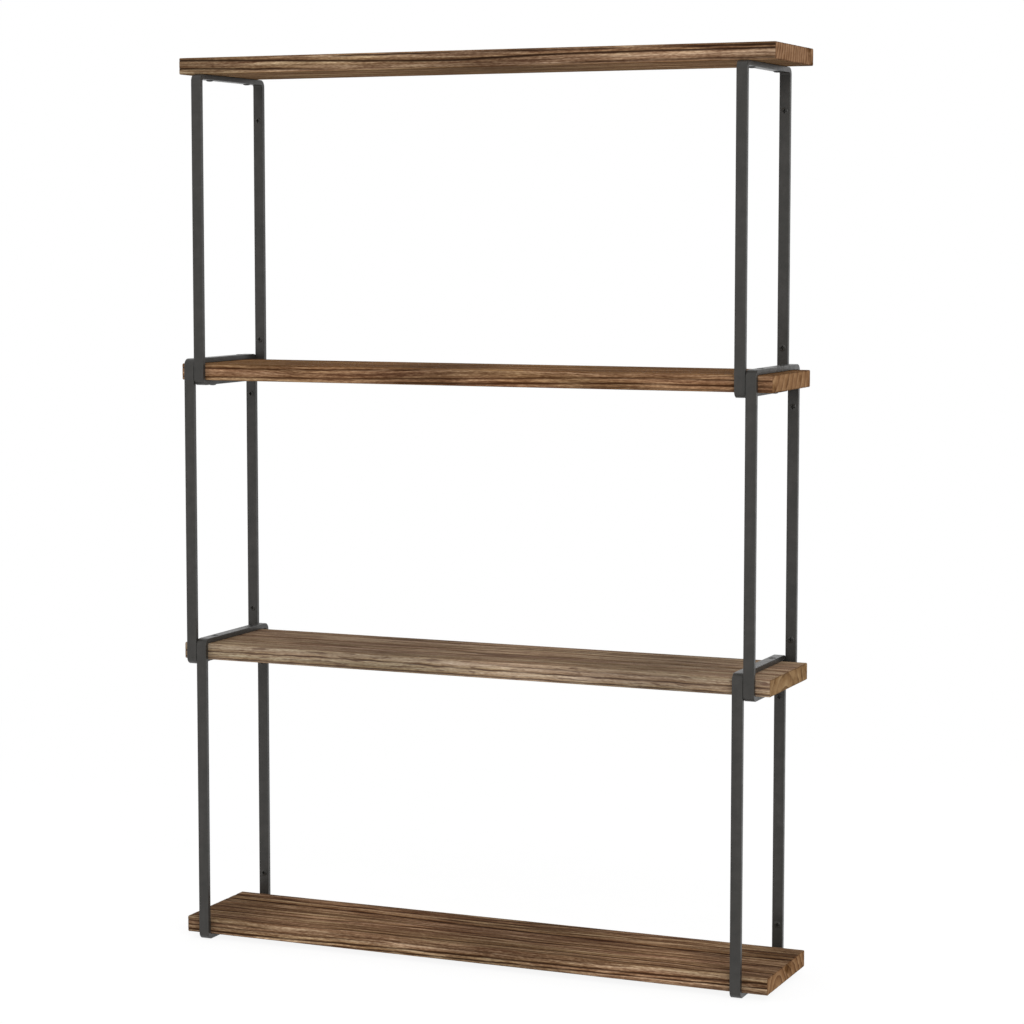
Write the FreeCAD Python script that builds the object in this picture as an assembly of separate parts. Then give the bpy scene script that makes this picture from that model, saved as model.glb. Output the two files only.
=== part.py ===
import FreeCAD, Part
import math
import os

# Four-board wall shelving unit on six closed loops of bent flat bar.
#
# Millimetres. X runs along the boards, the front faces -Y, the wall is at +Y and Z is up.
# The origin is the middle of the unit's footprint, at the height of its lowest point.
#
# The loops stand in three tiers. Each tier's loops reach from under one board to over the
# next, and the middle pair stands outboard of the other two, so the tiers overlap:
# boards two and three are each clamped between a crossbar below and a crossbar above.

# Boards
shelf_length = 610.0
shelf_depth = 115.5
shelf_thickness = 16.0
shelf_edge_radius = 1.5

# Flat bar, and the loops that are bent from it
bar_width = 10.5
bar_thickness = 5.0
bend_inner_radius = 2.0
loop_height = 304.0

# Where the loops stand
left_overhang = 5.3
right_overhang = 13.7
side_clearance = 0.3
wall_gap = 7.0

# Screws that hold the boards to the crossbars
shelf_screw_inset = 28.5
screw_diameter = 3.0
screw_length = 15.0
screw_tip_length = 2.5
shank_flats = 8
head_diameter = 7.0
head_rise = 1.3
bar_hole_clearance = 0.3
pilot_clearance = 0.1
pilot_end_clearance = 1.0

# Holes for the wall screws, through the back uprights
wall_hole_inset = 41.0
wall_hole_diameter = 4.5

# Sizes that follow from the driving ones
front_gap = max(bend_inner_radius - shelf_edge_radius, 0.0)
bend_outer_radius = bend_inner_radius + bar_thickness
loop_inner_depth = front_gap + shelf_depth + wall_gap
loop_depth = loop_inner_depth + 2 * bar_thickness
loop_front = -loop_depth / 2
loop_back = loop_depth / 2
shelf_front = loop_front + bar_thickness + front_gap
tier_rise = loop_height - shelf_thickness - 2 * bar_thickness

outer_left = -shelf_length / 2 + left_overhang
outer_right = shelf_length / 2 - right_overhang - bar_width
inner_left = outer_left + bar_width + side_clearance
inner_right = outer_right - side_clearance - bar_width

X_AXIS = FreeCAD.Vector(1, 0, 0)
Y_AXIS = FreeCAD.Vector(0, 1, 0)
Z_AXIS = FreeCAD.Vector(0, 0, 1)

# Tier by tier: the loops' underside and the left faces of the left and right loop
TIERS = {
    "lower": (head_rise, {"left": inner_left, "right": inner_right}),
    "middle": (head_rise + tier_rise, {"left": outer_left, "right": outer_right}),
    "upper": (head_rise + 2 * tier_rise, {"left": inner_left, "right": inner_right}),
}
LOWER_BASE = TIERS["lower"][0]
MIDDLE_BASE = TIERS["middle"][0]
UPPER_BASE = TIERS["upper"][0]

# Each board's underside
SHELVES = {
    "bottom_shelf": LOWER_BASE + bar_thickness,
    "lower_shelf": MIDDLE_BASE + bar_thickness,
    "upper_shelf": UPPER_BASE + bar_thickness,
    "top_shelf": UPPER_BASE + loop_height,
}

# Each crossbar's fixing: tier, crossbar, board that it holds, height of the face that the
# screw heads bear on, and +1 where the screws are driven upwards or -1 downwards
FIXINGS = [
    ("lower", "bottom", "bottom_shelf", LOWER_BASE, 1),
    ("lower", "top", "lower_shelf", LOWER_BASE + loop_height, -1),
    ("middle", "bottom", "lower_shelf", MIDDLE_BASE, 1),
    ("middle", "top", "upper_shelf", MIDDLE_BASE + loop_height, -1),
    ("upper", "bottom", "upper_shelf", UPPER_BASE, 1),
    ("upper", "top", "top_shelf", UPPER_BASE + loop_height - bar_thickness, 1),
]


def rounded_block(width, depth, height, radius, corner):
    """A block with its four edges along X rounded, standing at a corner point."""
    block = Part.makeBox(width, depth, height, corner)
    long_edges = [edge for edge in block.Edges if edge.BoundBox.XLength > width / 2]
    return block.makeFillet(radius, long_edges)


def screw_points(left_face):
    """Where the two screws of a crossbar stand, as X and Y."""
    middle = left_face + bar_width / 2
    return [(middle, loop_front + shelf_screw_inset), (middle, loop_back - shelf_screw_inset)]


def crossbar_fixings(tier=None, side=None, shelf=None):
    """The X, Y, bearing height and drive direction of every matching shelf screw."""
    found = []
    for fix_tier, crossbar, fix_shelf, bearing, drive in FIXINGS:
        if tier not in (None, fix_tier) or shelf not in (None, fix_shelf):
            continue
        for fix_side, left_face in TIERS[fix_tier][1].items():
            if side in (None, fix_side):
                found += [(x, y, bearing, drive) for x, y in screw_points(left_face)]
    return found


def make_loop(left_face, base, fixings):
    """One closed loop: flat bar bent round four corners and drilled for its screws."""
    outside = rounded_block(bar_width, loop_depth, loop_height, bend_outer_radius,
                            FreeCAD.Vector(left_face, loop_front, base))
    inside = rounded_block(bar_width, loop_inner_depth, loop_height - 2 * bar_thickness,
                           bend_inner_radius,
                           FreeCAD.Vector(left_face, loop_front + bar_thickness,
                                          base + bar_thickness))
    loop = outside.cut(inside)
    for x, y, bearing, drive in fixings:
        hole = Part.makeCylinder(screw_diameter / 2 + bar_hole_clearance, bar_thickness,
                                 FreeCAD.Vector(x, y, bearing), Z_AXIS * drive)
        loop = loop.cut(hole)
    for height in (wall_hole_inset, loop_height - wall_hole_inset):
        room_face = FreeCAD.Vector(left_face + bar_width / 2, loop_back - bar_thickness,
                                   base + height)
        hole = Part.makeCylinder(wall_hole_diameter / 2, bar_thickness, room_face, Y_AXIS)
        loop = loop.cut(hole)
    return loop


def stand(shape, x, y, bearing, drive):
    """Move a shape drawn upwards from the origin to its bearing face, up or down."""
    if drive < 0:
        shape.rotate(FreeCAD.Vector(), X_AXIS, 180)
    shape.translate(FreeCAD.Vector(x, y, bearing))
    return shape


def make_shank(radius, length):
    """A pointed shank from the origin up, with plain flats in place of its thread."""
    corners = []
    for step in range(shank_flats + 1):
        angle = 2 * math.pi * step / shank_flats
        corners.append(FreeCAD.Vector(radius * math.cos(angle), radius * math.sin(angle), 0))
    outline = Part.makePolygon(corners)
    body = Part.Face(outline).extrude(Z_AXIS * (length - screw_tip_length))
    outline.translate(Z_AXIS * (length - screw_tip_length))
    point = Part.makeLoft([outline, Part.Vertex(Z_AXIS * length)], True, True)
    return body.fuse(point).removeSplitter()


def make_screw(x, y, bearing, drive):
    """A wood screw with a low pan head."""
    head = Part.makeCylinder(head_diameter / 2, head_rise, FreeCAD.Vector(), -Z_AXIS)
    screw = head.fuse(make_shank(screw_diameter / 2, screw_length))
    return stand(screw, x, y, bearing, drive)


def make_shelf(underside, fixings):
    """One board with eased long edges and a pilot hole for every screw."""
    corner = FreeCAD.Vector(-shelf_length / 2, shelf_front, underside)
    board = rounded_block(shelf_length, shelf_depth, shelf_thickness, shelf_edge_radius,
                          corner)
    for x, y, bearing, drive in fixings:
        pilot = make_shank(screw_diameter / 2 + pilot_clearance,
                           screw_length + pilot_end_clearance)
        board = board.cut(stand(pilot, x, y, bearing, drive))
    return board


def write(node, shape):
    shape.exportStep("parts/" + node + ".step")
    print(node, len(shape.Solids), "solid(s)", round(shape.Volume), "mm3")


def main():
    os.makedirs("parts", exist_ok=True)
    for node, underside in SHELVES.items():
        write(node, make_shelf(underside, crossbar_fixings(shelf=node)))
    for tier, (base, left_faces) in TIERS.items():
        for side, left_face in left_faces.items():
            fixings = crossbar_fixings(tier=tier, side=side)
            write(tier + "_" + side + "_loop", make_loop(left_face, base, fixings))
    for tier, crossbar, _shelf, bearing, drive in FIXINGS:
        for side, left_face in TIERS[tier][1].items():
            screws = [make_screw(x, y, bearing, drive) for x, y in screw_points(left_face)]
            node = "_".join([tier, side, crossbar, "screws"])
            write(node, Part.makeCompound(screws))


main()
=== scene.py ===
import math

import bmesh
import bpy
import numpy as np
from mathutils import Matrix, Vector


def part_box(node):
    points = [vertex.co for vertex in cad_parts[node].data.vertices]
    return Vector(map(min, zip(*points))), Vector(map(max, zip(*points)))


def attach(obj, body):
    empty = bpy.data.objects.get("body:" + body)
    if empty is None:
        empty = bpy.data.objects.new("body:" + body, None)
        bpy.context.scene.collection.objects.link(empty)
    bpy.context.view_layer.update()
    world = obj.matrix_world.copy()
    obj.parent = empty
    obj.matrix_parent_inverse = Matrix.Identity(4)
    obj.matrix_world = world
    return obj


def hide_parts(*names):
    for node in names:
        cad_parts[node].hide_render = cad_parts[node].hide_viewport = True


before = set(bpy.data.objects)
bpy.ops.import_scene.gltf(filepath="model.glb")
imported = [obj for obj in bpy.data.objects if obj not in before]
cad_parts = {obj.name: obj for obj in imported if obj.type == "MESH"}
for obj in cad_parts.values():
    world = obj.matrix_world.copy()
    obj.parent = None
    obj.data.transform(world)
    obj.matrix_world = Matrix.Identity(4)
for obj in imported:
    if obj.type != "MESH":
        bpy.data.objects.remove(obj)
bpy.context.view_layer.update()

# Dresses the wall shelving unit: four boards of brushed, stained wood on six closed loops of
# painted flat bar. Sizes here are in millimetres and the scene is in metres; places come from
# the boxes of the CAD nodes. A colour is a screen colour, 0 to 255, and a tint is a share of one.
MM = 0.001
SCREEN_GAMMA = 2.2          # from a share of a screen colour to a share of light
WHITE = (1.0, 1.0, 1.0, 1.0)

# Boards
BOARD_EDGE = 1.5            # radius of the long edges
BOARD_END_EASING = 0.7      # radius of the sawn ends' rims
END_EASING_ANGLES = (30, 60, 90)
BROAD_STEP = 0.65           # mesh columns on the top and the underside
NARROW_STEP = 0.36          # mesh columns on the front and back edges
ROW_STEP = 4.0              # mesh rows along the board
EDGE_STEPS = 4
SAWN_SHARES = (1.0, 0.8, 0.35)   # how much of the end's colour the rows nearest to it show

# Random curves, each a height and the length of its waves
GRAIN_DRIFT = ((1.3, 420.0), (0.35, 120.0))      # how far the grain wanders round the board
FRONT_WOBBLE = ((0.12, 45.0),)                   # of the main growth lines
TOP_WOBBLE = ((0.4, 70.0),)
LINE_FLICKER = ((0.16, 60.0),)                   # of a growth line's strength
LINE_FLICKER_LIMITS = (0.6, 1.3)
HIDDEN_FLICKER = ((0.6, 240.0),)
EDGE_WEAR = 0.10                                 # rubbed off the long edges
EDGE_WEAR_WAVES = ((0.07, 45.0), (0.04, 14.0))
EDGE_WEAR_LIMIT = 0.3
EDGE_WEAR_SEED = 500                             # added to a board's seed
STAIN_WAVES = ((0.04, 220.0),)                   # how the stain's tone changes along a board
STAIN_SEED = 900                                 # added to a board's seed

# Growth lines that the brush has cut, each with a painted highlight beside it and a warm, dark side
LINE_EASE = np.linspace(-0.05, 0.05, 11)         # shares along, over which marks are smoothed
LINE_FADE = 0.08                                 # share along, where a line starts or ends
LINE_DEPTH = 0.34
LINE_WIDTH = 0.72
LINE_WIDTH_SPREAD = (0.85, 1.15)
# painted highlight beside each line: how far off, how wide, how much lighter, and its tint
PAINTED_HIGHLIGHT_AWAY = 1.7
PAINTED_HIGHLIGHT_WIDTH = 0.8
PAINTED_HIGHLIGHT = 0.22
PAINTED_HIGHLIGHT_TINT = (1.1, 1.0, 0.85)
FAR_PAINTED_HIGHLIGHT = 0.4                                  # of the painted highlight, on the line's other side
HALO_AWAY = 0.5                                  # share of the way to the painted highlight
HALO_WIDTH = 0.75
HALO_LOSS = (0.16, 0.24, 0.34)                   # of the light
UNDERSIDE_LINES, BACK_LINES = 9, 2               # random ones on the faces that don't show
HIDDEN_SHOWN = 0.4
HIDDEN_STRENGTH = 0.7
FAINT_LINES = 150
FAINT_DEPTH = 0.06
FAINT_LENGTHS = (40, 130)
FAINT_WIDTHS = (0.5, 1.1)

# Flat bar
BAR_THICKNESS = 5.0
BAR_EASING = 0.5
BEND_INNER_RADIUS = 2.0
BEND_STEPS = 12
EASING_STEPS = 3
WALL_HOLE_INSET = 41.0
WALL_HOLE_DIAMETER = 4.5
SHELF_HOLE_DIAMETER = 3.3
BAR_SHARP_ANGLE = 50

# Screws
HEAD_DIAMETER = 7.0
HEAD_RISE = 1.3
UPPER_HEAD_RISE = 0.5       # of the heads on top of a crossbar, pulled almost flush
HEAD_STEPS = 7
HEAD_DOME_ANGLE = 78        # degrees of the dome, from the middle to its rim
SCREW_LENGTH = 15.0
SCREW_TIP = 2.5
THREAD_DIAMETER = 3.0
CORE_DIAMETER = 2.1
THREAD_PITCH = 1.1
THREAD_START = 0.8          # below the head
PITCH_STEPS = 5
SCREW_SIDES = 32
RECESS_REACH = 1.9
RECESS_DEPTH = 1.0
WALL_HEAD_DIAMETER = 6.6
WALL_HEAD_RISE = 0.6
WALL_RECESS_REACH = 2.1
WALL_RECESS_DEPTH = 2.2
WALL_STUB_LENGTH = 3.4
WALL_STUB_CLEARANCE = 0.6   # of its diameter in the wall hole
WALL_SCREW_TURN = 0.15      # radians that a wall screw's cross may stand askew
SCREW_SHARP_ANGLE = 38
SCREW_SEED = 7

# How each board looks. Places on its right-hand end are Y and Z from the middle of that end.
#   seed                  of its random grain
#   rings, front_rings    the middle and the spacing of the growth rings on the sawn ends, and
#                         of those on their front half where they differ
#   ring_fade             how worn the rings are, at the clearest and at the faintest places
#   end_tint, end_stains  the tint of the ends, and the place, radius and strength of their stains
#   torn, contrast        of the soft wood and of the streaks
#   line, spread          the main growth lines' colour, and their widths on the front and top
#   front_tint, top_tint  the tint of the front, and of the other long faces
# darker than the front, partly wood tone and partly painted shade
#    front, top            the main growth lines: each has a strength and a few marks,
#                         the share along from the left and the share across (the front from the
#                         top down, the top from the front back)
BOARDS = {
    "top_shelf": {
        "seed": 11,
        "rings": (-150.0, 45.0, 6.4), "ring_fade": (0.0, 0.25),
        "end_tint": (1.05, 1.05, 1.1),
        "end_stains": [(50.0, 0.0, 9.0, 0.3), (43.0, 8.0, 9.0, 1.0), (57.0, -8.0, 7.0, 0.8)],
        "torn": 0.35, "contrast": 1.0, "line": (44, 27, 17), "spread": (1.4, 2.4),
        "front_tint": (1.05, 1.1, 1.15), "top_tint": (1.05, 1.05, 1.0),
        "front": [
            (1.1, [(0.0, 0.15), (0.47, 0.6), (0.62, 0.4), (0.75, 0.35), (1.0, 0.35)]),
            (0.9, [(0.0, 0.65), (0.3, 0.93)]),
            (1.0, [(0.25, 0.12), (0.5, 0.12)]),
            (0.6, [(0.5, 0.12), (0.8, 0.15)]),
            (1.0, [(0.8, 0.15), (1.0, 0.17)]),
            (0.6, [(0.63, 0.9), (0.8, 0.85), (1.0, 0.87)]),
        ],
        "top": [
            (0.8, [(0.0, 0.22), (0.4, 0.28), (1.0, 0.24)]),
            (0.7, [(0.0, 0.55), (0.5, 0.5), (1.0, 0.58)]),
            (0.7, [(0.0, 0.8), (0.6, 0.84), (1.0, 0.78)]),
        ],
    },
    "upper_shelf": {
        "seed": 23,
        "rings": (-100.0, 60.0, 12.0), "ring_fade": (0.2, 0.7),
        "end_tint": (1.05, 1.05, 1.05),
        "end_stains": [(-55.0, -3.0, 8.0, 0.7), (25.0, 2.0, 6.0, 0.3)],
        "torn": 0.2, "contrast": 1.0, "line": (58, 35, 20), "spread": (1.25, 2.4),
        "front_tint": (1.05, 1.05, 1.05), "top_tint": (1.0, 0.95, 0.85),
        "front": [
            (0.85, [(0.0, 0.25), (0.22, 0.25), (0.48, 0.07)]),
            (0.75, [(0.0, 0.8), (0.3, 0.73), (0.77, 0.3), (0.9, 0.3), (1.0, 0.35)]),
            (0.9, [(0.32, 0.93), (0.5, 0.85), (0.75, 0.63), (1.0, 0.65)]),
            (0.6, [(0.63, 0.92), (0.8, 0.88), (1.0, 0.92)]),
        ],
        "top": [
            (0.8, [(0.0, 0.3), (0.5, 0.34), (1.0, 0.28)]),
            (0.7, [(0.0, 0.62), (0.5, 0.66), (1.0, 0.7)]),
        ],
    },
    "lower_shelf": {
        "seed": 37,
        "rings": (-11.5, -28.0, 12.2), "ring_fade": (0.15, 0.7),
        "end_tint": (1.05, 1.1, 1.1),
        "end_stains": [(43.0, 3.0, 9.0, 0.3), (15.0, -5.0, 7.0, 0.4)],
        "torn": 1.0, "contrast": 0.6, "line": (66, 46, 35), "spread": (1.0, 2.6),
        "front_tint": (1.2, 1.35, 1.5), "top_tint": (1.2, 1.3, 1.4),
        "front": [
            (0.8, [(0.0, 0.5), (0.25, 0.4), (0.38, 0.4), (0.5, 0.5), (1.0, 0.5)]),
            (0.9, [(0.0, 0.88), (1.0, 0.88)]),
            (0.5, [(0.48, 0.15), (0.65, 0.22), (0.8, 0.2), (0.93, 0.15)]),
        ],
        "top": [
            (0.6, [(0.0, 0.88), (0.5, 0.85), (1.0, 0.86)]),
            (0.7, [(0.0, 0.58), (0.5, 0.58)]),
            (0.5, [(0.0, 0.3), (1.0, 0.27)]),
            (0.5, [(0.35, 0.05), (0.85, 0.07)]),
            (0.4, [(0.3, 0.7), (0.8, 0.65)]),
            (0.6, [(0.3, 0.45), (0.8, 0.48), (1.0, 0.48)]),
            (0.2, [(0.0, 0.15), (1.0, 0.15)]),
        ],
    },
    "bottom_shelf": {
        "seed": 52,
        "rings": (-66.0, -88.0, 8.5), "front_rings": (-27.0, -16.0, 9.5), "ring_fade": (0.0, 0.3),
        "end_tint": (1.05, 1.05, 1.05),
        "end_stains": [(0.0, 6.0, 8.0, 1.0), (9.0, 1.0, 8.0, 0.7)],
        "torn": 0.3, "contrast": 1.1, "line": (52, 32, 20), "spread": (1.1, 2.8),
        "front_tint": (1.1, 1.15, 1.2), "top_tint": (1.05, 1.05, 1.05),
        "front": [
            (0.7, [(0.0, 0.25), (0.2, 0.3)]),
            (0.5, [(0.22, 0.12), (0.42, 0.27), (0.8, 0.2)]),
            (0.7, [(0.0, 0.53), (0.15, 0.5), (0.38, 0.33)]),
            (1.05, [(0.0, 0.83), (0.15, 0.8), (0.4, 0.6), (0.8, 0.5), (1.0, 0.3)]),
            (1.0, [(0.2, 0.93), (0.5, 0.82), (0.8, 0.7), (1.0, 0.57)]),
            (0.4, [(0.7, 0.92), (1.0, 0.9)]),
        ],
        "top": [
            (0.7, [(0.0, 0.86), (0.6, 0.84)]),
            (1.1, [(0.0, 0.73), (0.28, 0.71), (0.43, 0.66), (0.9, 0.6), (1.0, 0.64)]),
            (1.0, [(0.87, 0.77), (0.94, 0.74), (1.0, 0.72)]),
            (0.5, [(0.0, 0.54), (0.4, 0.52)]),
            (0.7, [(0.0, 0.28), (0.2, 0.34), (0.38, 0.42), (0.55, 0.43)]),
            (0.6, [(0.45, 0.34), (0.85, 0.37), (1.0, 0.37)]),
            (0.7, [(0.1, 0.05), (0.4, 0.11), (0.65, 0.15), (1.0, 0.16)]),
        ],
    },
}

# Per crossbar: the board screws' node and +1 where their heads are below the bar, or -1 above
CROSSBARS = {
    "lower_{}_bottom": 1, "lower_{}_top": -1,
    "middle_{}_bottom": 1, "middle_{}_top": -1,
    "upper_{}_bottom": 1, "upper_{}_top": 1,
}
LOOPS = [tier + "_" + side for tier in ("lower", "middle", "upper") for side in ("left", "right")]


# ---------------------------------------------------------------- meshes

def place_object(name, data):
    """A new object in the scene."""
    made = bpy.data.objects.new(name, data)
    bpy.context.scene.collection.objects.link(made)
    return made


def mesh_from(name, vertices, faces):
    """A mesh from millimetre vertices."""
    mesh = bpy.data.meshes.new(name)
    mesh.from_pydata((np.asarray(vertices, float) * MM).tolist(), [], faces)
    return mesh


def new_piece(name, mesh):
    """A smooth piece that rides on the unit."""
    mesh.polygons.foreach_set("use_smooth", [True] * len(mesh.polygons))
    piece = place_object(name, mesh)
    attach(piece, "root")
    return piece


def shade(mesh, sharp_angle, material):
    """Smooth shading, but for edges sharper than an angle in degrees, and one material."""
    mesh.polygons.foreach_set("use_smooth", [True] * len(mesh.polygons))
    mesh.set_sharp_from_angle(angle=math.radians(sharp_angle))
    mesh.materials.clear()
    mesh.materials.append(material)


def node_box(node):
    """The lowest and the highest corner of a CAD node's box, in millimetres."""
    return [np.array(corner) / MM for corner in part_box(node)]


def tube_faces(rows, columns, closed=False):
    """Quads over a grid of vertices that closes round its columns, with a face on each end
    or, if closed, joined from the last row to the first."""
    faces = []
    for i in range(rows if closed else rows - 1):
        here, there = i * columns, (i + 1) % rows * columns
        for j in range(columns):
            k = (j + 1) % columns
            faces.append((here + j, there + j, there + k, here + k))
    if not closed:
        last = (rows - 1) * columns
        faces.append(tuple(range(columns)))
        faces.append(tuple(last + j for j in reversed(range(columns))))
    return faces


def wave(x, rng, length, terms=4):
    """A smooth random curve about 1 high, with features about as long as given."""
    total = np.zeros_like(x)
    for _ in range(terms):
        stretch, phase, size = rng.uniform(0.6, 1.9), rng.uniform(), rng.normal()
        total += size * np.sin(2 * math.pi * (x / (length * stretch) + phase))
    return total / math.sqrt(terms / 2)


def waves(x, rng, curves, start=0.0):
    """Random curves, each a height and a length, added to a start."""
    total = start
    for size, length in curves:
        total = total + size * wave(x, rng, length)
    return total


# ---------------------------------------------------------------- boards

def direction(angle):
    """The unit vector at an angle in degrees."""
    return np.array([math.cos(math.radians(angle)), math.sin(math.radians(angle))])


def board_section(depth, height):
    """Points round a board's section from the back of the underside: forwards, up the front,
    back over the top and down. Gives y, z, both parts of the outward normal, the distance
    walked, and how far the point is into a rounded edge."""
    half_y, half_z = depth / 2 - BOARD_EDGE, height / 2 - BOARD_EDGE
    broad = round(2 * half_y / BROAD_STEP)
    narrow = round(2 * half_z / NARROW_STEP)
    corners = [(-half_y, -half_z, 270), (-half_y, half_z, 180),
               (half_y, half_z, 90), (half_y, -half_z, 0)]
    quarter = math.pi / 2 * BOARD_EDGE
    points = []
    walked = 0.0
    here = np.array([half_y, -half_z])
    for index, (y, z, angle) in enumerate(corners):
        count = broad if index % 2 == 0 else narrow
        normal = direction(angle)
        there = np.array([y, z])
        length = float(np.linalg.norm(there - here))
        for k in range(count):
            place = here + (there - here) * k / count + normal * BOARD_EDGE
            points.append((*place, *normal, walked + length * k / count, 0.0))
        walked += length
        for k in range(EDGE_STEPS):
            share = k / EDGE_STEPS
            way = direction(angle - 90 * share)
            place = there + way * BOARD_EDGE
            points.append((*place, *way, walked + share * quarter, math.sin(math.pi * share)))
        walked += quarter
        here = there
    return np.array(points), walked


def line_path(marks, t):
    """A growth line's share across at t, eased between its marks, and how much of it shows: all
    of it, but for a fade where it starts or ends on the board."""
    along, across = zip(*marks)
    path = sum(np.interp(t + shift, along, across) for shift in LINE_EASE) / len(LINE_EASE)
    shown = np.ones_like(t)
    if along[0] > 0:
        shown *= np.clip((t - along[0]) / LINE_FADE, 0, 1)
    if along[-1] < 1:
        shown *= np.clip((along[-1] - t) / LINE_FADE, 0, 1)
    return path, shown


def board_relief(look, x, walked, around, depth, height):
    """How deep the brushing has cut at each row and column, how far the grain drifts round the
    board at each row, the tint of each place, and which places are off the front edge."""
    rng = np.random.default_rng(look["seed"])
    t = (x - x[0]) / (x[-1] - x[0])
    drift = waves(x, rng, GRAIN_DRIFT)
    quarter = math.pi / 2 * BOARD_EDGE
    broad, narrow = depth - 2 * BOARD_EDGE, height - 2 * BOARD_EDGE
    front_start = broad + quarter
    top_start = front_start + narrow + quarter
    back_start = top_start + broad + quarter
    front_spread, top_spread = look["spread"]
    deep = np.zeros((len(x), len(walked)))
    painted_highlights = np.zeros_like(deep)
    halos = np.zeros_like(deep)

    def cut(path, size, width):
        away = walked[None, :] - path[:, None]
        away = (away + around / 2) % around - around / 2
        np.maximum(deep, size[:, None] * np.exp(-(away / width) ** 2), out=deep)
        return away

    def cut_line(path, strength, spread):
        ridge = PAINTED_HIGHLIGHT_AWAY * spread
        strength = strength * np.clip(waves(x, rng, LINE_FLICKER, 1.0), *LINE_FLICKER_LIMITS)
        away = cut(path, LINE_DEPTH * strength, LINE_WIDTH * spread * rng.uniform(*LINE_WIDTH_SPREAD))
        painted_bright = np.exp(-((away + ridge) / PAINTED_HIGHLIGHT_WIDTH) ** 2)
        painted_bright = painted_bright + FAR_PAINTED_HIGHLIGHT * np.exp(-((away - ridge) / PAINTED_HIGHLIGHT_WIDTH) ** 2)
        np.maximum(painted_highlights, painted_bright * strength[:, None], out=painted_highlights)
        warm = np.exp(-((away - ridge * HALO_AWAY) / (ridge * HALO_WIDTH)) ** 2)
        np.maximum(halos, warm * strength[:, None], out=halos)

    for strength, marks in look["front"]:
        across, shown = line_path(marks, t)
        place = front_start + narrow / 2 + (0.5 - across) * height
        cut_line(waves(x, rng, FRONT_WOBBLE, place), strength * shown, front_spread)
    for strength, marks in look["top"]:
        across, shown = line_path(marks, t)
        place = top_start - BOARD_EDGE + across * depth
        cut_line(waves(x, rng, TOP_WOBBLE, place), strength * shown, top_spread)
    for start, across, count, spread in ((0.0, broad, UNDERSIDE_LINES, top_spread),
                                         (back_start, narrow, BACK_LINES, front_spread)):
        for k in range(count):
            path = start + across * (k + rng.uniform(0.2, 0.8)) / count + drift
            shown = np.clip(waves(x, rng, HIDDEN_FLICKER, HIDDEN_SHOWN), 0, 1)
            cut_line(path, HIDDEN_STRENGTH * shown, spread)
    for _ in range(FAINT_LINES):
        start, long = rng.uniform(x[0], x[-1]), rng.uniform(*FAINT_LENGTHS)
        path = rng.uniform(0, around) + drift
        cut(path, FAINT_DEPTH * np.exp(-((x - start) / long) ** 2), rng.uniform(*FAINT_WIDTHS))

    on_front = ((walked > front_start - quarter / 2) & (walked < top_start - quarter / 2))[None, :, None]
    # the top, underside and back are tinted darker than the front: partly the wood's own tone, partly
    # painted shade where less light falls
    tint = np.where(on_front, look["front_tint"], look["top_tint"]) ** SCREEN_GAMMA
    stain = waves(x, np.random.default_rng(look["seed"] + STAIN_SEED), STAIN_WAVES, 1.0)
    tint = tint * (stain ** SCREEN_GAMMA)[:, None, None]
    # painted highlights beside the growth lines
    tint *= 1 + PAINTED_HIGHLIGHT * np.clip(painted_highlights, 0, 1.2)[..., None] * np.array(PAINTED_HIGHLIGHT_TINT)
    tint *= 1 - np.clip(halos, 0, 1.1)[..., None] * np.array(HALO_LOSS)
    return deep, drift, tint, np.broadcast_to(~on_front[..., 0], deep.shape)


def mark_grain(mesh, x, walked, around, drift):
    """Stores where each face corner lies in the grain: along the board, and round it less the
    drift. The corners of both end faces come last and lie nowhere in it."""
    columns = len(walked)
    spans = len(x) - 1
    i, j = np.divmod(np.arange(spans * columns), columns)
    row = np.stack([i, i + 1, i + 1, i], 1)
    column = np.stack([j, j, j + 1, j + 1], 1)
    places = np.append(walked, around)
    values = np.zeros((spans * columns, 4, 3))
    values[..., 0] = x[row]
    values[..., 1] = places[column] - drift[row]
    ends = np.zeros((2 * columns, 3))
    grain = mesh.attributes.new("grain", "FLOAT_VECTOR", "CORNER")
    grain.data.foreach_set("vector", (np.concatenate([values.reshape(-1, 3), ends]) * MM).ravel())


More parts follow.
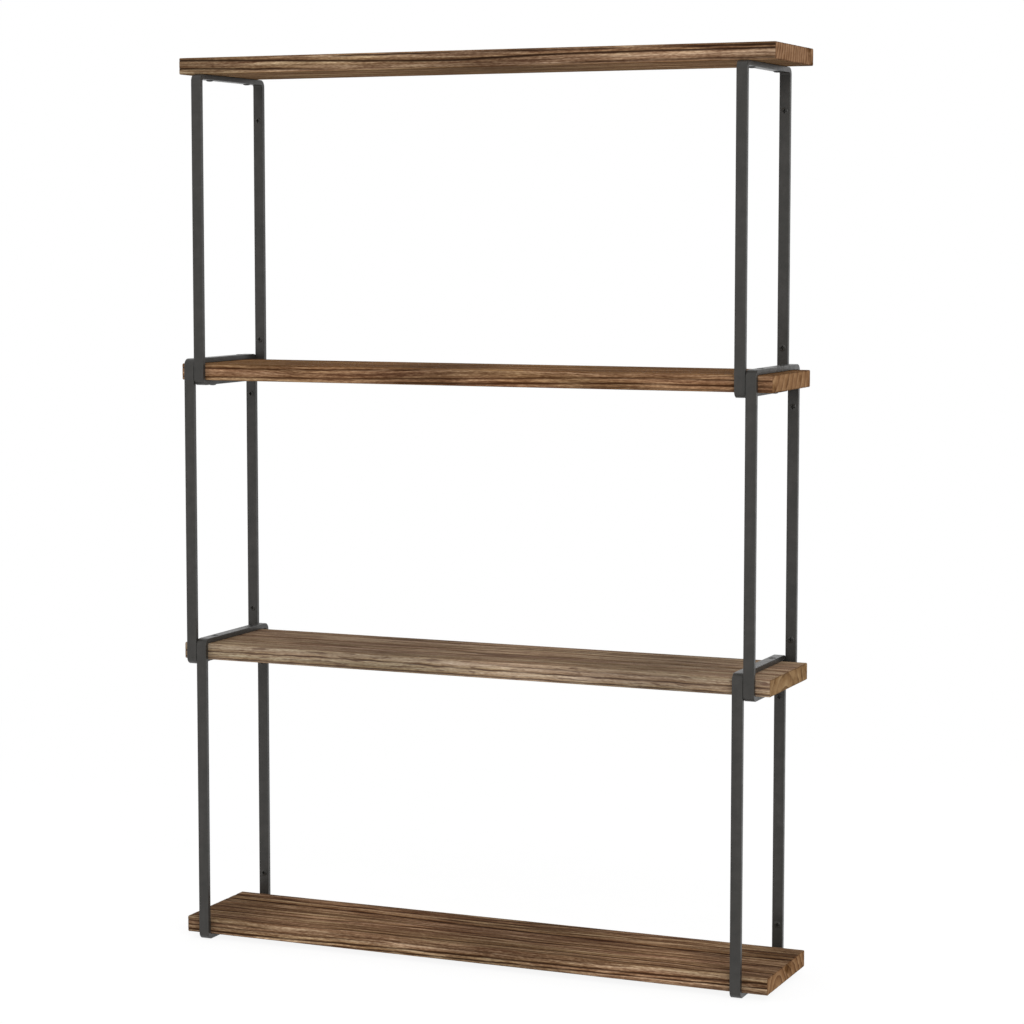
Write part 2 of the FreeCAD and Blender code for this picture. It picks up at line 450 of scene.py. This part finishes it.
def make_board(node, look):
    """A board with brushed growth lines, eased edges and sawn ends, in place of its node."""
    low, high = node_box(node)
    length, depth, height = high - low
    middle = (low + high) / 2
    section, around = board_section(depth, height)
    across, normal, walked, edge = section[:, 0:2], section[:, 2:4], section[:, 4], section[:, 5]
    half = length / 2
    along = np.linspace(-half + BOARD_END_EASING, half - BOARD_END_EASING, round(length / ROW_STEP))
    angles = np.radians(END_EASING_ANGLES)
    out, sunk = np.sin(angles) * BOARD_END_EASING, (1 - np.cos(angles)) * BOARD_END_EASING
    x = np.concatenate([along[0] - out[::-1], along, along[-1] + out])
    shrink = np.concatenate([sunk[::-1], np.zeros(len(along)), sunk])
    deep, drift, tint, broad = board_relief(look, x, walked, around, depth, height)
    wear_rng = np.random.default_rng(look["seed"] + EDGE_WEAR_SEED)
    worn = np.clip(waves(x, wear_rng, EDGE_WEAR_WAVES, EDGE_WEAR), 0, EDGE_WEAR_LIMIT)
    inward = deep + shrink[:, None] + worn[:, None] * edge[None, :]

    rows, columns = len(x), len(walked)
    vertices = np.empty((rows, columns, 3))
    vertices[:, :, 0] = x[:, None]
    vertices[:, :, 1:] = across[None] - normal[None] * inward[:, :, None]
    mesh = mesh_from(node + "_board", vertices.reshape(-1, 3) + middle, tube_faces(rows, columns))
    mesh.validate()
    board = new_piece(node + "_board", mesh)
    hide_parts(node)
    mesh.polygons.foreach_set("use_smooth", [True] * (len(mesh.polygons) - 2) + [False] * 2)

    # Drawn on by the stain: growth lines, sawn ends, rubbed edges, broad faces and the tint
    # the tint carries painted highlights and painted shade
    mark_grain(mesh, x, walked, around, drift)
    sawn = np.zeros((rows, columns))
    for k, share in enumerate(SAWN_SHARES):
        sawn[[k, -1 - k]] = share
    for name, field in (("groove", np.clip(deep / LINE_DEPTH, 0, 1.3)), ("sawn", sawn),
                        ("rubbed", np.broadcast_to(edge, (rows, columns))), ("broad", broad)):
        layer = mesh.attributes.new(name, "FLOAT", "POINT")
        layer.data.foreach_set("value", np.ascontiguousarray(field, float).ravel())
    layer = mesh.attributes.new("tint", "FLOAT_VECTOR", "POINT")
    layer.data.foreach_set("vector", tint.ravel())
    mesh.materials.append(wood(node, look, middle, (depth / 2, height / 2)))


# ---------------------------------------------------------------- frames

def cut_away(piece, tools):
    """Takes the volume of the tools out of the piece."""
    for tool in tools:
        modifier = piece.modifiers.new("cut", "BOOLEAN")
        modifier.operation = "DIFFERENCE"
        modifier.solver = "EXACT"
        modifier.object = tool
    graph = bpy.context.evaluated_depsgraph_get()
    mesh = bpy.data.meshes.new_from_object(piece.evaluated_get(graph))
    piece.modifiers.clear()
    piece.data = mesh
    for tool in tools:
        bpy.data.objects.remove(tool)


def facing(point, way):
    """The placement that moves the origin to a point and turns its +Z to face a way."""
    turn = Vector((0, 0, 1)).rotation_difference(Vector(way)).to_matrix().to_4x4()
    return Matrix.Translation(Vector(point) * MM) @ turn


def drill(centre, axis, diameter, length, steps=28):
    """A round cutter centred on a point, as a loose object for cut_away."""
    mesh = bpy.data.meshes.new("drill")
    shape = bmesh.new()
    bmesh.ops.create_cone(shape, cap_ends=True, segments=steps, radius1=diameter / 2 * MM,
                          radius2=diameter / 2 * MM, depth=length * MM, matrix=facing(centre, axis))
    shape.to_mesh(mesh)
    shape.free()
    return place_object("drill", mesh)


def bar_section(width):
    """The flat bar's section with eased edges: across its width, and out from its middle."""
    half_x, half_v = width / 2 - BAR_EASING, BAR_THICKNESS / 2 - BAR_EASING
    points = []
    for x, v, start in ((half_x, half_v, 90), (half_x, -half_v, 0),
                        (-half_x, -half_v, -90), (-half_x, half_v, -180)):
        for step in range(EASING_STEPS + 1):
            a = math.radians(start - 90 * step / EASING_STEPS)
            points.append((x + BAR_EASING * math.cos(a), v + BAR_EASING * math.sin(a)))
    return np.array(points)


def make_loop(loop):
    """A closed loop of flat bar: bent round four corners, its edges eased and its holes drilled."""
    low, high = node_box(loop + "_loop")
    centre = (low + high) / 2
    size = high - low
    bend = BEND_INNER_RADIUS + BAR_THICKNESS
    section = bar_section(size[0])
    half_y, half_z = size[1] / 2 - bend, size[2] / 2 - bend
    rings = []
    for y, z, start in ((half_y, half_z, 0), (-half_y, half_z, 90),
                        (-half_y, -half_z, 180), (half_y, -half_z, 270)):
        for step in range(BEND_STEPS + 1):
            a = math.radians(start + 90 * step / BEND_STEPS)
            out = bend - BAR_THICKNESS / 2 + section[:, 1]
            rings.append(np.stack([section[:, 0], y + out * math.cos(a), z + out * math.sin(a)], 1))
    faces = tube_faces(len(rings), len(section), closed=True)
    mesh = mesh_from(loop + "_frame", np.concatenate(rings) + centre, faces)
    mesh.validate()
    frame_piece = new_piece(loop + "_frame", mesh)
    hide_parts(loop + "_loop")

    through = BAR_THICKNESS * 3
    tools = []
    for crossbar, z in (("bottom", low[2] + BAR_THICKNESS / 2), ("top", high[2] - BAR_THICKNESS / 2)):
        for y in screw_rows(loop + "_" + crossbar + "_screws"):
            tools.append(drill((centre[0], y, z), (0, 0, 1), SHELF_HOLE_DIAMETER, through))
    for z in wall_hole_heights(low, high):
        middle_y = high[1] - BAR_THICKNESS / 2
        tools.append(drill((centre[0], middle_y, z), (0, 1, 0), WALL_HOLE_DIAMETER, through))
    cut_away(frame_piece, tools)
    shade(frame_piece.data, BAR_SHARP_ANGLE, PAINT)
    flatten = frame_piece.modifiers.new("even_shading", "WEIGHTED_NORMAL")
    flatten.keep_sharp = True


def wall_hole_heights(low, high):
    """The Z of both wall holes of a loop, from its box."""
    return low[2] + WALL_HOLE_INSET, high[2] - WALL_HOLE_INSET


def screw_rows(node):
    """The Y of both screws of a crossbar, from their node's box."""
    low, high = node_box(node)
    return low[1] + HEAD_DIAMETER / 2, high[1] - HEAD_DIAMETER / 2


# ---------------------------------------------------------------- screws

def head_profile(diameter, rise):
    """Radius and height of a low domed head, from its middle to its bearing face at 0."""
    radius = diameter / 2
    rim = 0.32 * rise
    points = []
    for step in range(1, HEAD_STEPS + 1):
        a = math.radians(90 - HEAD_DOME_ANGLE * step / HEAD_STEPS)
        points.append((radius * 0.97 * math.cos(a), rim + (rise - rim) * math.sin(a)))
    points += [(radius, rim * 0.9), (radius, rim * 0.3), (radius * 0.975, 0.0)]
    return points


def shank_profile(length, tip):
    """Heights down a shank, close enough together to draw its thread, and how far it narrows
    towards its point at each."""
    rows = round(length / THREAD_PITCH * PITCH_STEPS)
    heights = [0.0] + [-length * k / rows for k in range(1, rows)]
    taper = [1.0] + [min(1.0, (length + h) / tip) ** 0.7 if tip else 1.0 for h in heights[1:]]
    return zip(heights, taper)


def screw_mesh(diameter, rise, length, tip, core, thread, reach, sunk):
    """One screw standing head up on the origin, with a cross recess sunk into its head. A plain
    shank has no thread's diameter, and a blunt one no tip."""
    sides = [2 * math.pi * k / SCREW_SIDES for k in range(SCREW_SIDES)]
    vertices = [(0.0, 0.0, rise)]
    for radius, height in head_profile(diameter, rise):
        vertices += [(radius * math.cos(a), radius * math.sin(a), height) for a in sides]
    for height, narrow in shank_profile(length, tip):
        for a in sides:
            phase = (height / THREAD_PITCH + a / (2 * math.pi)) % 1.0
            threaded = thread and height < -THREAD_START
            ridge = max(0.0, 1 - abs(phase - 0.5) * 3.2) if threaded else 0.0
            radius = (core / 2 + (thread - core) / 2 * ridge) * narrow
            vertices.append((radius * math.cos(a), radius * math.sin(a), height))
    vertices.append((0.0, 0.0, -length))
    rings = (len(vertices) - 2) // SCREW_SIDES
    bottom = 1 + (rings - 1) * SCREW_SIDES
    faces = []
    for j in range(SCREW_SIDES):
        k = (j + 1) % SCREW_SIDES
        faces.append((0, 1 + j, 1 + k))
        for i in range(rings - 1):
            here, there = 1 + i * SCREW_SIDES, 1 + (i + 1) * SCREW_SIDES
            faces.append((here + j, there + j, there + k, here + k))
        faces.append((bottom + j, len(vertices) - 1, bottom + k))
    blank = place_object("screw", mesh_from("screw", vertices, faces))
    cut_away(blank, [recess(reach, rise, sunk)])
    made = blank.data
    bpy.data.objects.remove(blank)
    return made


def recess(reach, rise, sunk):
    """The cross that a driver leaves: four arms that narrow towards the bottom."""
    arm = 0.2 * reach + 0.12
    floor, top = rise - sunk, rise + 0.4
    outline = [(reach, -arm), (reach, arm), (arm * 1.25, arm * 1.25)]
    points = []
    for scale, height in ((0.45, floor), (1.0, rise), (1.12, top)):
        for quarter in range(4):
            a = quarter * math.pi / 2
            for x, y in outline:
                x, y = x * scale, y * (0.55 + 0.45 * scale)
                points.append((x * math.cos(a) - y * math.sin(a),
                               x * math.sin(a) + y * math.cos(a), height))
    faces = [tuple(reversed(face)) for face in tube_faces(3, 4 * len(outline))]
    mesh = mesh_from("recess", points, faces)
    shape = bmesh.new()
    shape.from_mesh(mesh)
    bmesh.ops.recalc_face_normals(shape, faces=shape.faces)
    shape.to_mesh(mesh)
    shape.free()
    return place_object("recess", mesh)


def place_screws(name, pattern, places, material):
    """One piece of several screws. A place is a point, the way the head faces and a turn."""
    mesh = bpy.data.meshes.new(name)
    shape = bmesh.new()
    for point, way, turn in places:
        copy = pattern.copy()
        copy.transform(facing(point, way) @ Matrix.Rotation(turn, 4, "Z"))
        shape.from_mesh(copy)
        bpy.data.meshes.remove(copy)
    shape.to_mesh(mesh)
    shape.free()
    shade(mesh, SCREW_SHARP_ANGLE, material)
    return new_piece(name, mesh)


# ---------------------------------------------------------------- materials

def colour(red, green, blue):
    """A screen colour, 0 to 255, as the linear colour that a node takes."""
    linear = [(c / 255 / 12.92) if c <= 10 else ((c / 255 + 0.055) / 1.055) ** 2.4
              for c in (red, green, blue)]
    return (*linear, 1.0)


def tones(*stops):
    """The stops of a colour ramp, each a place and a screen colour."""
    return [(place, colour(*tone)) for place, tone in stops]


def screen_share(tint):
    """Shares of a screen colour as the shares of light that a node takes."""
    return (*(share ** SCREEN_GAMMA for share in tint), 1.0)


class Nodes:
    """The node tree of a material or a world. An input that is a socket is linked, and any
    other is set."""

    def __init__(self, owner):
        self.owner = owner
        owner.use_nodes = True
        self.tree = owner.node_tree
        self.shader = self.tree.nodes.get("Principled BSDF")

    def put(self, socket, value):
        if isinstance(value, bpy.types.NodeSocket):
            self.tree.links.new(value, socket)
        else:
            socket.default_value = value

    def node(self, kind, inputs, output=0, **settings):
        made = self.tree.nodes.new("ShaderNode" + kind)
        for key, value in settings.items():
            setattr(made, key, value)
        for key, value in inputs.items():
            self.put(made.inputs[key], value)
        return made.outputs[output]

    def attribute(self, name, output="Fac"):
        return self.node("Attribute", {}, output, attribute_name=name)

    def place(self):
        return self.node("TexCoord", {}, "Object")

    def part(self, vector, axis):
        return self.node("SeparateXYZ", {0: vector}, axis)

    def math(self, operation, a, b=0.0):
        return self.node("Math", {0: a, 1: b}, operation=operation)

    def vector(self, operation, a, b):
        return self.node("VectorMath", {0: a, 1: b}, operation=operation)

    def length(self, vector):
        return self.node("VectorMath", {0: vector}, "Value", operation="LENGTH")

    def weighted(self, *terms):
        """The sum of sockets, each times its share."""
        total, *rest = [self.math("MULTIPLY", socket, share) for socket, share in terms]
        for term in rest:
            total = self.math("ADD", total, term)
        return total

    def stretch(self, vector, scale, offset):
        return self.node("VectorMath", {0: vector, 1: scale, 2: (offset, offset * 0.37, offset * 1.9)},
                         operation="MULTIPLY_ADD")

    def noise(self, vector, scale=1.0, detail=2.0, roughness=0.5, distortion=0.0):
        return self.node("TexNoise", {"Vector": vector, "Scale": scale, "Detail": detail,
                                      "Roughness": roughness, "Distortion": distortion})

    def noises(self, vector, table, seed):
        """Named noises, from a table of their stretches, shifts and settings."""
        return {name: self.noise(self.stretch(vector, scale, seed + shift), **settings)
                for name, (scale, shift, settings) in table.items()}

    def span(self, value, low, high, to_low=0.0, to_high=1.0, smooth=False):
        return self.node("MapRange", {"Value": value, "From Min": low, "From Max": high,
                                      "To Min": to_low, "To Max": to_high},
                         interpolation_type="SMOOTHSTEP" if smooth else "LINEAR")

    def ramp(self, value, stops):
        made = self.tree.nodes.new("ShaderNodeValToRGB")
        elements = made.color_ramp.elements
        elements.remove(elements[1])
        elements[0].position, elements[0].color = stops[0]
        for place, tone in stops[1:]:
            elements.new(place).color = tone
        self.put(made.inputs[0], value)
        return made.outputs[0]

    def mix(self, factor, a, b, blend="MIX"):
        made = self.tree.nodes.new("ShaderNodeMix")
        made.data_type = "RGBA"
        made.blend_type = blend
        self.put(made.inputs["Factor"], factor)
        self.put(made.inputs[6], a)
        self.put(made.inputs[7], b)
        return made.outputs[2]

    def tinted(self, base, tint):
        return self.mix(1.0, base, tint, "MULTIPLY")

    def bump(self, height, strength, distance):
        return self.node("Bump", {"Height": height, "Strength": strength, "Distance": distance * MM})

    def blend(self, factor, a, b):
        """One shader fading to another."""
        return self.node("MixShader", {0: factor, 1: a, 2: b})

    def seen_directly(self):
        """1 for camera, glossy and transmission rays, and 0 for the rays that light the unit."""
        path = self.tree.nodes.new("ShaderNodeLightPath").outputs
        seen = self.math("MAXIMUM", path["Is Camera Ray"], path["Is Glossy Ray"])
        return self.math("MAXIMUM", seen, path["Is Transmission Ray"])

    def finish(self, **inputs):
        """Sets the shader's inputs and gives the material."""
        for key, value in inputs.items():
            self.put(self.shader.inputs[key.replace("_", " ")], value)
        return self.owner


# Noises of the wood: how often they change per metre along, round and into the board or, on its
# ends, along, in Y and in Z, then a shift and the noise's other settings
GRAIN_NOISES = {
    "bands": ((4.0, 120.0, 1.0), 0.0, {}),
    "streaks": ((8.0, 380.0, 1.0), 3.1, {"distortion": 0.3}),
    "fine": ((28.0, 950.0, 1.0), 7.7, {"roughness": 0.6}),
    "fibres": ((220.0, 1200.0, 1.0), 9.4, {}),
    "coarse": ((14.0, 180.0, 1.0), 17.0, {}),
    "hue": ((5.0, 90.0, 1.0), 13.0, {}),
    "wander": ((2.0, 24.0, 1.0), 5.2, {}),
    "fade": ((4.2, 70.0, 1.0), 6.6, {"detail": 1.0}),
    "ticks": ((48.0, 520.0, 1.0), 21.0, {"distortion": 0.25}),
}
END_NOISES = {
    "sway": ((1.0, 55.0, 55.0), 0.0, {"detail": 3.0}),
    "blotch": ((1.0, 90.0, 160.0), 2.0, {"detail": 3.0}),
    "worn": ((1.0, 48.0, 80.0), 4.4, {}),
    "saw": ((1.0, 900.0, 60.0), 8.0, {}),
}
STREAK_REACH = 0.10         # of the streaks' noise, from the darkest wood to the palest
WOOD_TONES = tones((0.0, (78, 53, 36)), (0.28, (102, 76, 55)), (0.52, (122, 95, 71)),
                   (0.76, (142, 115, 89)), (1.0, (166, 139, 110)))
GREENER, REDDER = (1.0, 1.01, 0.95, 1.0), (1.04, 0.98, 0.99, 1.0)
LATE_WOOD = colour(58, 36, 25)
TORN_WOOD = colour(74, 49, 36)
RUBBED_WOOD = colour(150, 124, 98)
YEAR_WIDTH = 7.5            # between the growth lines of the broad faces
YEAR_WANDER = 8.0           # years that those lines stray
RING_TONES = tones((0.0, (170, 136, 100)), (0.35, (148, 112, 78)), (0.68, (126, 92, 60)),
                   (0.86, (72, 46, 29)), (0.94, (88, 58, 38)), (1.0, (168, 134, 98)))
WORN_END = colour(144, 109, 77)
BLOTCH_TONES = tones((0.35, (106, 75, 48)), (0.65, (162, 128, 94)))
SAW_MARK = colour(96, 62, 38)
PORE = colour(84, 54, 34)
END_RIM = colour(64, 40, 25)
END_STAIN = screen_share((0.7, 0.65, 0.55))
RING_SWAY = 4.0             # how far the rings stray
RING_SEAM = 0.5             # half width of the seam between the two sets of rings
STAIN_SWAY = 3.0
RIM_SWAY = 0.4
RIM_FROM, RIM_TO = 1.4, 0.3 # inside the end's outline
WOOD_SHEEN = 0.02


def late_wood(n, grain, noises, broad):
    """Where the random growth lines of the broad faces are dark: they wander and fade."""
    wander = n.math("MULTIPLY", noises["wander"], YEAR_WANDER)
    years = n.math("MULTIPLY", n.part(grain, 1), 1 / (YEAR_WIDTH * MM))
    year = n.math("FRACT", n.math("ADD", years, wander))
    late = n.math("MULTIPLY", n.span(year, 0.45, 0.85, smooth=True), n.span(year, 1.0, 0.90))
    return n.math("MULTIPLY", late, n.math("MULTIPLY", n.span(noises["fade"], 0.40, 0.58), broad))


def face_colour(n, look, noises, broad, late, torn):
    """The long faces: streaks along the grain, growth lines, torn wood and rubbed edges."""
    tone = n.weighted((noises["bands"], 0.20), (noises["streaks"], 0.22),
                      (noises["fine"], 0.34), (noises["fibres"], 0.24))
    coarse = n.math("SUBTRACT", noises["coarse"], 0.5)
    tone = n.math("ADD", tone, n.math("MULTIPLY", coarse, n.math("MULTIPLY", broad, 0.28)))
    reach = STREAK_REACH / look["contrast"]
    face = n.ramp(n.span(tone, 0.5 - reach, 0.5 + reach), WOOD_TONES)
    face = n.mix(n.span(noises["hue"], 0.38, 0.62), n.tinted(face, GREENER), n.tinted(face, REDDER))
    face = n.mix(n.math("MULTIPLY", late, 0.8), face, LATE_WOOD)
    face = n.mix(n.math("MULTIPLY", torn, 0.7), face, TORN_WOOD)
    face = n.mix(n.span(n.attribute("groove"), 0.06, 0.80, 0.0, 0.95), face, colour(*look["line"]))
    rubbed = n.math("MULTIPLY", n.attribute("rubbed"), n.span(noises["streaks"], 0.42, 0.62))
    face = n.mix(n.math("MULTIPLY", rubbed, 0.3), face, RUBBED_WOOD)
    # the tint carries painted shade on the faces other than the front, and painted highlights
    return n.vector("MULTIPLY", face, n.attribute("tint", "Vector"))


def end_distance(n, place, middle, y, z):
    """How far a place is from a point of the board's end, given from the end's middle."""
    centre = (0.0, (middle[1] + y) * MM, (middle[2] + z) * MM)
    off = n.vector("SUBTRACT", place, centre)
    return n.length(n.vector("MULTIPLY", off, (0.0, 1.0, 1.0)))


def ring_share(n, place, sway, middle, rings):
    """How far each place on a sawn end is through its growth ring, from 0 to 1."""
    pith_y, pith_z, spacing = rings
    radius = n.math("ADD", end_distance(n, place, middle, pith_y, pith_z), sway)
    return n.math("FRACT", n.math("DIVIDE", radius, spacing * MM))


def end_colour(n, look, middle, half):
    """The sawn ends: rings round the pith, pores between them, stains and a rim that darkens towards the
    outline.
    """
    place = n.place()
    noises = n.noises(place, END_NOISES, look["seed"])
    sway = n.span(noises["sway"], 0.0, 1.0, -RING_SWAY * MM, RING_SWAY * MM)
    ring = ring_share(n, place, sway, middle, look["rings"])
    if "front_rings" in look:
        near = ring_share(n, place, sway, middle, look["front_rings"])
        seam = n.math("SUBTRACT", n.part(place, 1), middle[1] * MM)
        seam = n.span(n.math("ADD", seam, sway), -RING_SEAM * MM, RING_SEAM * MM)
        ring = n.weighted((ring, seam), (near, n.math("SUBTRACT", 1.0, seam)))
    end = n.ramp(ring, RING_TONES)
    end = n.mix(n.span(noises["worn"], 0.40, 0.60, *look["ring_fade"]), end, WORN_END)
    end = n.mix(0.3, end, n.ramp(noises["blotch"], BLOTCH_TONES))
    end = n.mix(n.span(noises["saw"], 0.40, 0.66, 0.0, 0.32), end, SAW_MARK)
    for stain_y, stain_z, reach, strength in look["end_stains"]:
        stray = n.span(noises["blotch"], 0.3, 0.7, -STAIN_SWAY * MM, STAIN_SWAY * MM)
        gap = n.math("ADD", end_distance(n, place, middle, stain_y, stain_z), stray)
        shown = n.span(gap, reach * MM, 0.3 * reach * MM, 0.0, strength, smooth=True)
        end = n.mix(shown, end, n.tinted(end, END_STAIN))
    pores = n.noise(place, 2300.0, 3.0, 0.6)
    end = n.mix(n.span(pores, 0.56, 0.72, 0.0, 0.4), end, PORE)
    gaps = []
    for axis, reach in zip((1, 2), half):
        offset = n.math("SUBTRACT", n.part(place, axis), middle[axis] * MM)
        gaps.append(n.math("SUBTRACT", reach * MM, n.math("ABSOLUTE", offset)))
    stray = n.span(noises["blotch"], 0.3, 0.7, -RIM_SWAY * MM, RIM_SWAY * MM)
    rim = n.math("ADD", n.math("MINIMUM", *gaps), stray)
    end = n.mix(n.span(rim, RIM_FROM * MM, RIM_TO * MM, 0.0, 0.6), end, END_RIM)
    return n.tinted(end, screen_share(look["end_tint"]))


def wood(node, look, middle, half):
    """Brushed, stained softwood: streaks along the grain on the long faces, growth rings on
    the sawn ends."""
    n = Nodes(bpy.data.materials.new(node + "_wood"))
    grain = n.attribute("grain", "Vector")
    broad = n.attribute("broad")
    noises = n.noises(grain, GRAIN_NOISES, look["seed"])
    late = late_wood(n, grain, noises, broad)
    torn = n.math("MULTIPLY", n.span(noises["ticks"], 0.56, 0.66, smooth=True), look["torn"])
    face = face_colour(n, look, noises, broad, late, torn)
    base = n.mix(n.attribute("sawn"), face, end_colour(n, look, middle, half))
    gloss = n.span(noises["streaks"], 0.35, 0.65, 0.92, 0.80)
    brushed = n.weighted((noises["fine"], 0.6), (noises["fibres"], 0.4), (late, -0.5), (torn, -1.0))
    relief = n.bump(brushed, 0.55, 0.25)
    return n.finish(Base_Color=base, Roughness=gloss, Normal=relief, Specular_IOR_Level=WOOD_SHEEN)


def paint():
    """Dark grey powder coat: a little mottled, with fine orange peel."""
    n = Nodes(bpy.data.materials.new("bar_paint"))
    place = n.place()
    mottle = n.noise(place, 90.0, 4.0, 0.6)
    runs = n.noise(n.stretch(place, (160.0, 160.0, 14.0), 4.0), detail=3.0)
    grit = n.noise(place, 1500.0, 2.0, 0.6)
    peel = n.noise(place, 620.0, 2.0)
    tone = n.weighted((mottle, 0.6), (runs, 0.4))
    base = n.ramp(tone, tones((0.36, (41, 40, 37)), (0.5, (47, 45, 42)), (0.64, (53, 51, 48))))
    base = n.mix(n.span(grit, 0.60, 0.74, 0.0, 0.3), base, colour(66, 64, 61))
    rough = n.span(mottle, 0.35, 0.65, 0.42, 0.32)
    relief = n.bump(n.weighted((peel, 1.0), (grit, 0.35)), 0.35, 0.08)
    return n.finish(Base_Color=base, Roughness=rough, Normal=relief, Specular_IOR_Level=0.39)


def blackened():
    """Blackened steel of the screws, cloudy, with light specks and a dull, uneven sheen."""
    n = Nodes(bpy.data.materials.new("screw_black"))
    place = n.place()
    cloud = n.noise(place, 420.0, 3.0, 0.6)
    grit = n.noise(place, 2600.0, 2.0, 0.6)
    base = n.ramp(cloud, tones((0.35, (25, 24, 24)), (0.65, (41, 40, 39))))
    base = n.mix(n.span(grit, 0.62, 0.74, 0.0, 0.4), base, colour(72, 70, 68))
    rough = n.span(cloud, 0.35, 0.65, 0.34, 0.52)
    return n.finish(Base_Color=base, Roughness=rough, Normal=n.bump(grit, 0.25, 0.05), Metallic=0.35)


PAINT = paint()
BLACK = blackened()


# ---------------------------------------------------------------- stage, in metres and watts

FLOOR_SIZE = 30.0
FLOOR_CELLS = 30
FLOOR_WHITE_FROM, FLOOR_WHITE_TO = 0.45, 1.5   # from the unit
FLOOR_SHOWN = 0.18                              # share of real floor near the unit
FLOOR_LIFT = 1.09                               # white that is laid over the rest
FLOOR_GREYS = [(0.3, (0.80, 0.80, 0.80, 1.0)), (0.7, (0.84, 0.84, 0.84, 1.0))]
WORLD_LIGHT = 0.62
LAMP_TARGET = (0.0, 0.0, 0.45)
LAMP_SIZE = 1.8

# The photograph's camera, fitted to the edges of the boards and the uprights
CAMERA_PLACE = (1.0779, -2.4871, 0.7060)
CAMERA_ANGLES = (84.761, 0.0236, 23.441)
CAMERA_SHIFT = (0.02231, -0.02044)
CAMERA_LENS, CAMERA_SENSOR = 98.697, 36.0


def make_floor():
    """A pale floor that fades to white away from the unit and keeps its shadow."""
    mesh = bpy.data.meshes.new("floor")
    shape = bmesh.new()
    bmesh.ops.create_grid(shape, x_segments=FLOOR_CELLS, y_segments=FLOOR_CELLS, size=FLOOR_SIZE / 2)
    shape.to_mesh(mesh)
    shape.free()
    floor = place_object("floor", mesh)

    n = Nodes(bpy.data.materials.new("floor"))
    place = n.place()
    speck = n.noise(place, 30.0, 3.0)
    n.finish(Base_Color=n.ramp(speck, FLOOR_GREYS), Roughness=0.9, Specular_IOR_Level=0.1)
    real = n.shader.outputs[0]
    near = n.blend(1 - FLOOR_SHOWN, real, n.node("Emission", {"Color": WHITE, "Strength": FLOOR_LIFT}))
    away = n.span(n.length(place), FLOOR_WHITE_FROM, FLOOR_WHITE_TO, smooth=True)
    faded = n.blend(away, near, n.node("Emission", {"Color": WHITE, "Strength": 1.0}))
    shown = n.blend(n.seen_directly(), real, faded)
    n.put(n.tree.nodes["Material Output"].inputs[0], shown)
    mesh.materials.append(n.owner)


def make_world():
    """Even studio light, white where the camera or a reflection sees it."""
    world = bpy.data.worlds.new("studio")
    bpy.context.scene.world = world
    n = Nodes(world)
    lit = n.tree.nodes["Background"]
    n.put(lit.inputs["Color"], WHITE)
    n.put(lit.inputs["Strength"], WORLD_LIGHT)
    white = n.node("Background", {"Color": WHITE, "Strength": 1.0})
    shown = n.blend(n.seen_directly(), lit.outputs[0], white)
    n.put(n.tree.nodes["World Output"].inputs[0], shown)


def make_softbox(name, place, power):
    """A square lamp at a place, turned to the unit."""
    lamp = bpy.data.lights.new(name, "AREA")
    lamp.shape = "SQUARE"
    lamp.size = LAMP_SIZE
    lamp.energy = power
    softbox = place_object(name, lamp)
    softbox.location = place
    softbox.rotation_euler = (Vector(LAMP_TARGET) - Vector(place)).to_track_quat("-Z", "Y").to_euler()
    return softbox


def make_camera():
    """The photograph's camera."""
    camera = bpy.data.cameras.new("camera")
    camera.sensor_width = CAMERA_SENSOR
    camera.lens = CAMERA_LENS
    camera.shift_x, camera.shift_y = CAMERA_SHIFT
    camera.clip_start, camera.clip_end = 0.05, 100.0
    camera_object = place_object("camera", camera)
    camera_object.location = CAMERA_PLACE
    camera_object.rotation_euler = [math.radians(angle) for angle in CAMERA_ANGLES]
    bpy.context.scene.camera = camera_object


# ---------------------------------------------------------------- the unit

def make_board_screws(rng):
    """The pairs of screws that hold the crossbars to the boards, in place of their nodes."""
    patterns = {drive: screw_mesh(diameter=HEAD_DIAMETER, rise=rise, length=SCREW_LENGTH,
                                  tip=SCREW_TIP, core=CORE_DIAMETER, thread=THREAD_DIAMETER,
                                  reach=RECESS_REACH, sunk=RECESS_DEPTH)
                for drive, rise in ((1, HEAD_RISE), (-1, UPPER_HEAD_RISE))}
    for crossbar, drive in CROSSBARS.items():
        for side in ("left", "right"):
            node = crossbar.format(side) + "_screws"
            low, high = node_box(node)
            bearing = low[2] + HEAD_RISE if drive > 0 else high[2] - HEAD_RISE
            x = (low[0] + high[0]) / 2
            places = [((x, y, bearing), (0, 0, -drive), rng.uniform(0, math.pi))
                      for y in screw_rows(node)]
            pair = place_screws(node + "_pair", patterns[drive], places, BLACK)
            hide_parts(node)


def make_wall_screws(rng):
    """The painted heads of the screws that hold the back uprights to the wall."""
    pattern = screw_mesh(diameter=WALL_HEAD_DIAMETER, rise=WALL_HEAD_RISE, length=WALL_STUB_LENGTH,
                         tip=0.0, core=WALL_HOLE_DIAMETER - WALL_STUB_CLEARANCE, thread=0.0,
                         reach=WALL_RECESS_REACH, sunk=WALL_RECESS_DEPTH)
    for loop in LOOPS:
        low, high = node_box(loop + "_loop")
        x, room_face = (low[0] + high[0]) / 2, high[1] - BAR_THICKNESS
        places = [((x, room_face, z), (0, -1, 0), rng.uniform(-WALL_SCREW_TURN, WALL_SCREW_TURN))
                  for z in wall_hole_heights(low, high)]
        place_screws(loop + "_wall_screws", pattern, places, PAINT)


for board_node, board_look in BOARDS.items():
    make_board(board_node, board_look)
for loop_name in LOOPS:
    make_loop(loop_name)
screw_rng = np.random.default_rng(SCREW_SEED)
make_board_screws(screw_rng)
make_wall_screws(screw_rng)

make_floor()
make_world()
make_softbox("key", (2.2, -2.6, 1.9), 55.0)
fill = make_softbox("fill", (-2.4, -2.2, 1.2), 22.0)
fill.visible_glossy = False   # it only lifts the shadows, without a highlight on the paint
make_camera()
bpy.context.scene.view_settings.view_transform = "Standard"
